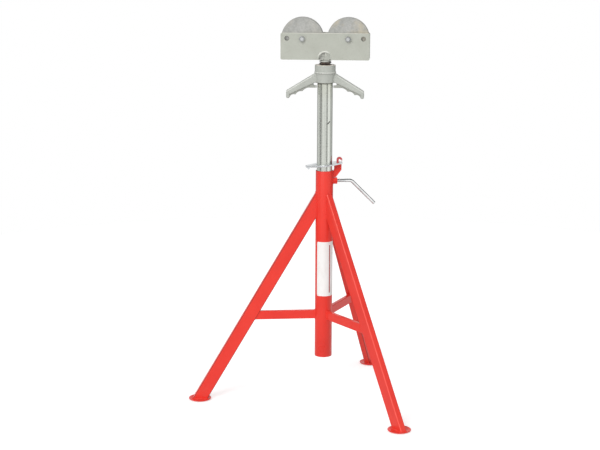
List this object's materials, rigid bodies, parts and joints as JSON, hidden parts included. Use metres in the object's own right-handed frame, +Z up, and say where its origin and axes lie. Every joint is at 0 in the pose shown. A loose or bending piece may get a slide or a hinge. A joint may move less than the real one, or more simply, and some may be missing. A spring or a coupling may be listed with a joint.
{
  "type": "pipe jack stand",
  "caption": "Tripod pipe stand with a sliding column, tilting lock ring, clamp screw, hand-turned jack nut and a head of side-by-side rollers that cradles a pipe",
  "frame": {"origin": "on the floor under the axis of the centre tube, in the plane of the foot undersides", "axes": "+Z up along the column; +X along the head plates, 9 degrees clockwise of the clamp screw's side; -Y faces the side with the axle nuts"},
  "size_m": [0.6611, 0.6955, 1.1305],
  "materials": {
    "red_paint": "glossy red enamel",
    "white_label": "satin film",
    "zinc_tube": "dull zinc with rub marks",
    "bright_zinc": "bright zinc plate",
    "grey_paint": "satin grey enamel",
    "painted_casting": "satin grey enamel on a casting",
    "greased_steel": "greased thread",
    "roller_steel": "turned steel, zinc plated",
    "bronze": "oiled bronze"
  },
  "bodies": {
    "base": {"centre_tube": "red_paint", "label": "white_label", "leg_left": "red_paint", "foot_left": "red_paint", "brace_left": "red_paint", "leg_front": "red_paint", "foot_front": "red_paint", "brace_front": "red_paint", "leg_back": "red_paint", "foot_back": "red_paint", "brace_back": "red_paint", "lock_bracket": "red_paint", "clamp_boss": "red_paint"},
    "column": {"inner_tube": "zinc_tube"},
    "swivel": {"thrust_washer": "bright_zinc"},
    "nut": {"jack_nut": "painted_casting"},
    "head": {"jack_screw": "greased_steel", "head_plate_front": "grey_paint", "head_plate_back": "grey_paint", "head_welds": "grey_paint", "axle_bolt_left": "bright_zinc", "axle_bolt_right": "bright_zinc", "axle_nut_left": "bright_zinc", "axle_nut_right": "bright_zinc", "roller_spacers": "bright_zinc"},
    "left_roller": {"roller_left": "roller_steel", "bushing_left": "bronze"},
    "right_roller": {"roller_right": "roller_steel", "bushing_right": "bronze"},
    "lock": {"lock_ring": "bright_zinc"},
    "clamp": {"clamp_screw": "bright_zinc"}
  },
  "joints": [
    {"name": "column_slide", "type": "slide", "parent": "base", "child": "column", "axis": [0, 0, 1], "range_m": [-0.2, 0.17]},
    {"name": "head_swivel", "type": "hinge", "parent": "column", "child": "swivel", "pos_m": [0, 0, 0.97], "axis": [0, 0, 1], "continuous": true},
    {"name": "nut_turn", "type": "hinge", "parent": "swivel", "child": "nut", "pos_m": [0, 0, 0.985], "axis": [0, 0, 1], "range_deg": [-6240, 796]},
    {"name": "screw_lift", "type": "slide", "parent": "swivel", "child": "head", "axis": [0, 0, 1], "range_m": [-0.014, 0.11]},
    {"name": "roller_left_spin", "type": "hinge", "parent": "head", "child": "left_roller", "pos_m": [-0.06555, 0, 1.0702], "axis": [0, 1, 0], "continuous": true},
    {"name": "roller_right_spin", "type": "hinge", "parent": "head", "child": "right_roller", "pos_m": [0.06555, 0, 1.0702], "axis": [0, 1, 0], "continuous": true},
    {"name": "lock_ring_release", "type": "hinge", "parent": "base", "child": "lock", "pos_m": [0.04879, 0.00773, 0.70765], "axis": [-0.1564, 0.9877, 0], "range_deg": [0, 7]},
    {"name": "clamp_screw_turn", "type": "hinge", "parent": "base", "child": "clamp", "pos_m": [0.03161, 0.00501, 0.6575], "axis": [0.9877, 0.1564, 0], "range_deg": [0, 720]}
  ],
  "couplings": [
    {"joint": "nut_turn", "follows": "screw_lift", "rad_per_m": -989.48}
  ]
}
